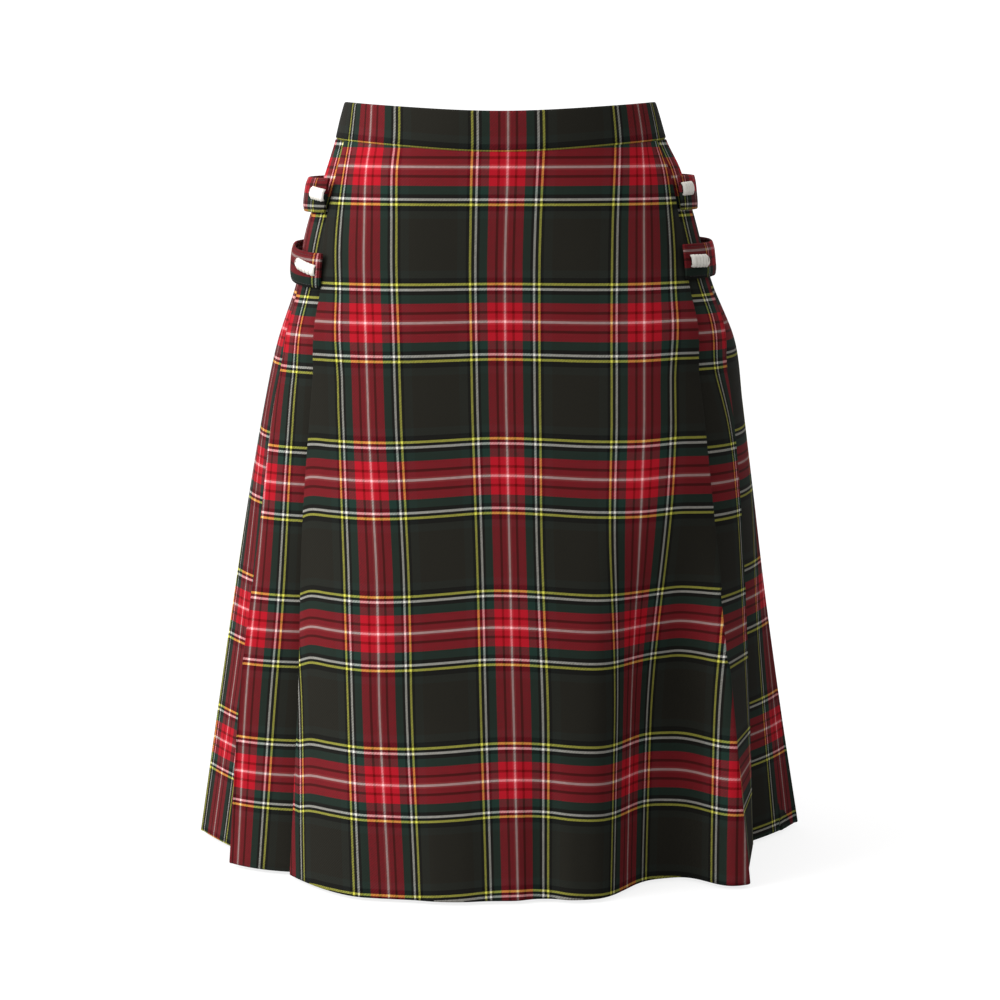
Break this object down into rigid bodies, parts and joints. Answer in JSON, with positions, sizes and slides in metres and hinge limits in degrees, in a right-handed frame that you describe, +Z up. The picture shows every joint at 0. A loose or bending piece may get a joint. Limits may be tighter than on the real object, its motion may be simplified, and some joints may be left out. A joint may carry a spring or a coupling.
{
  "type": "tartan skirt",
  "caption": "Knee-length A-line tartan skirt with a plain waistband, a flat apron front, knife pleats round the sides and back, and buckled straps on the hips.",
  "frame": {"origin": "middle of the waist opening, level with the top of the waistband at the sides", "axes": "+Z up through the waist, -Y to the wearer's front, +X to the right of someone facing the front"},
  "size_m": [0.4982, 0.3872, 0.5985],
  "materials": {
    "tartan_cloth": "woven wool twill, matt with a faint nap",
    "strap_cloth": "woven wool twill, doubled and stitched",
    "buckle_metal": "pale plated metal, ribbed"
  },
  "bodies": {
    "root": {"waistband_front": "tartan_cloth", "waistband_back": "tartan_cloth", "front_panel": "tartan_cloth", "pleats_left": "tartan_cloth", "pleats_right": "tartan_cloth", "strap_upper_left": "strap_cloth", "buckle_upper_left": "buckle_metal", "strap_lower_left": "strap_cloth", "buckle_lower_left": "buckle_metal", "strap_upper_right": "strap_cloth", "buckle_upper_right": "buckle_metal", "strap_lower_right": "strap_cloth", "buckle_lower_right": "buckle_metal"}
  },
  "joints": []
}
